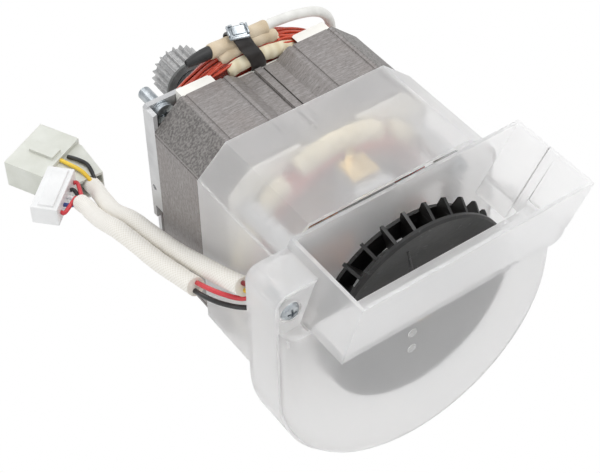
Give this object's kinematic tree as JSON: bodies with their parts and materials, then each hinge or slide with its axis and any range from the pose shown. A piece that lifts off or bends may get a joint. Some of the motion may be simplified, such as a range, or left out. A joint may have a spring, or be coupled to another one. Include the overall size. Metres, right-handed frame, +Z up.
{
  "type": "meat grinder motor",
  "caption": "Brushed universal motor with toothed drive pulley, cast end bracket, fan in a translucent ducted shroud, and sleeved leads with plugs",
  "frame": {"origin": "on the shaft's axis, in the plane of the drive-end bracket's mounting face", "axes": "+Y along the shaft towards the pulley, +Z up towards the duct's mouth, +X to the right seen from the fan end"},
  "size_m": [0.1253, 0.2354, 0.1263],
  "materials": {
    "laminated_steel": "stacked sheet edges, ground",
    "insulator": "off-white moulding",
    "enamelled_wire": "red enamel over copper",
    "armature_wire": "varnished copper wire",
    "copper": "turned copper",
    "phenolic": "moulded phenolic",
    "ground_steel": "ground",
    "cast_alloy": "die cast",
    "zinc_plate": "zinc plated",
    "bearing_steel": "polished",
    "brass": "stamped",
    "carbon": "pressed carbon",
    "spring_steel": "bare",
    "sintered_steel": "sintered, light grey",
    "dark_steel": "dark satin",
    "black_plastic": "moulded, satin gloss",
    "cream_tape": "woven tape",
    "beige_sleeve": "woven sleeve",
    "white_sleeve": "soft sleeving",
    "black_rubber": "matt",
    "frosted_plastic": "natural translucent moulding",
    "woven_sleeve": "cream woven sleeve",
    "red_wire": "insulated wire",
    "dark_red_wire": "insulated wire",
    "black_wire": "insulated wire",
    "yellow_wire": "insulated wire",
    "nylon": "natural nylon",
    "white_nylon": "white nylon"
  },
  "bodies": {
    "motor_frame": {"stator_core": "laminated_steel", "drive_end_insulator": "insulator", "fan_end_insulator": "insulator", "upper_field_coil": "enamelled_wire", "lower_field_coil": "enamelled_wire", "drive_bracket": "cast_alloy", "mounting_screws": "zinc_plate", "spring_washers": "zinc_plate", "flat_washers": "zinc_plate", "core_screws": "zinc_plate", "drive_bearing_outer": "bearing_steel", "fan_bracket": "cast_alloy", "fan_bearing_outer": "bearing_steel", "upper_brush_holder": "brass", "lower_brush_holder": "brass", "upper_brush_spring": "spring_steel", "lower_brush_spring": "spring_steel", "upper_brush_cap": "brass", "lower_brush_cap": "brass", "coil_tape": "cream_tape", "upper_fan_end_tapes": "cream_tape", "lower_fan_end_tapes": "cream_tape", "cutout_sleeve": "beige_sleeve", "thermal_cutout": "bearing_steel", "end_sleeve": "black_rubber", "strap": "black_rubber", "strap_buckle": "zinc_plate", "loop_sleeving": "white_sleeve", "shroud": "frosted_plastic", "front_cover": "frosted_plastic", "cover_screw": "zinc_plate", "upper_lead_sleeve": "woven_sleeve", "lower_lead_sleeve": "woven_sleeve", "branch_wire_red": "red_wire", "branch_wire_black": "black_wire", "entry_wire_red": "dark_red_wire", "entry_wire_yellow": "yellow_wire", "large_connector": "nylon", "large_connector_wires": "yellow_wire", "small_connector": "white_nylon", "small_connector_wires": "red_wire"},
    "rotor": {"armature_core": "laminated_steel", "armature_winding": "armature_wire", "commutator": "copper", "commutator_hub": "phenolic", "shaft": "ground_steel", "drive_bearing_balls": "bearing_steel", "drive_bearing_inner": "bearing_steel", "fan_bearing_balls": "bearing_steel", "fan_bearing_inner": "bearing_steel", "pulley": "sintered_steel", "pulley_disc": "dark_steel", "pulley_spacer": "bearing_steel", "pulley_clip": "spring_steel", "fan": "black_plastic", "fan_nut": "brass"},
    "upper_brush_body": {"upper_brush": "carbon"},
    "lower_brush_body": {"lower_brush": "carbon"}
  },
  "joints": [
    {"name": "rotor_spin", "type": "hinge", "parent": "motor_frame", "child": "rotor", "pos_m": [0, 0, 0], "axis": [0, 1, 0], "continuous": true},
    {"name": "upper_brush_slide", "type": "slide", "parent": "motor_frame", "child": "upper_brush_body", "axis": [0, 0, 1], "range_m": [0, 0.003], "stiffness_N_per_m": 150, "springref_m": -0.02, "deforming": ["upper_brush_spring"]},
    {"name": "lower_brush_slide", "type": "slide", "parent": "motor_frame", "child": "lower_brush_body", "axis": [0, 0, -1], "range_m": [0, 0.003], "stiffness_N_per_m": 150, "springref_m": -0.02, "deforming": ["lower_brush_spring"]}
  ]
}
